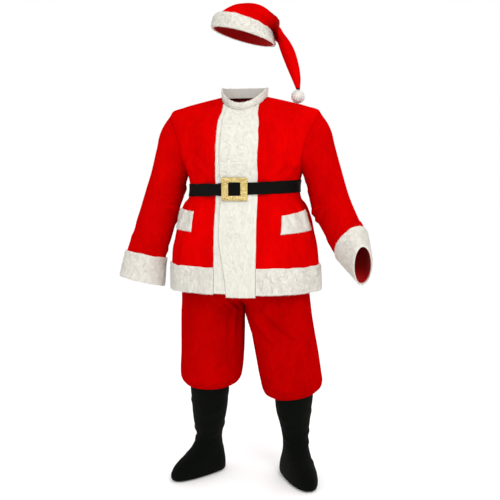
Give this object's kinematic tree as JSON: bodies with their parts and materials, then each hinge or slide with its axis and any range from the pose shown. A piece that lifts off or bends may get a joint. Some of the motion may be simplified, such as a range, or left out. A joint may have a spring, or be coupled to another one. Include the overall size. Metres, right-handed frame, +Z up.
{
  "type": "santa suit",
  "caption": "Red plush santa suit as worn: pompom cap, belted jacket with white trim, knee trousers and black boot covers.",
  "frame": {"origin": "middle of the shoulders, level with the shoulder seams, on the body's upright axis", "axes": "+Z up, the front of the suit faces -Y, the wearer's left is +X"},
  "size_m": [0.9993, 0.4002, 1.844],
  "materials": {
    "red_plush": "short-napped plush with a soft sheen",
    "white_plush": "short white plush, slightly mottled",
    "black_felt": "matt black felt",
    "black_webbing": "matt black fabric belt",
    "gold_glitter": "plastic frame covered in gold glitter"
  },
  "bodies": {
    "root": {"jacket_front_left": "red_plush", "jacket_front_right": "red_plush", "jacket_back": "red_plush", "sleeve_left": "red_plush", "sleeve_right": "red_plush", "cuff_left": "white_plush", "cuff_right": "white_plush", "front_band_left": "white_plush", "front_band_right": "white_plush", "hem_band_left": "white_plush", "hem_band_right": "white_plush", "hem_band_back": "white_plush", "pocket_flap_left": "white_plush", "pocket_flap_right": "white_plush", "collar": "white_plush", "belt": "black_webbing", "buckle": "gold_glitter", "trouser_front_left": "red_plush", "trouser_front_right": "red_plush", "trouser_back_left": "red_plush", "trouser_back_right": "red_plush", "boot_cover_outer_left": "black_felt", "boot_cover_inner_left": "black_felt", "boot_cover_outer_right": "black_felt", "boot_cover_inner_right": "black_felt", "hat_front": "red_plush", "hat_back": "red_plush", "hat_band": "white_plush", "pompom": "white_plush"}
  },
  "joints": []
}
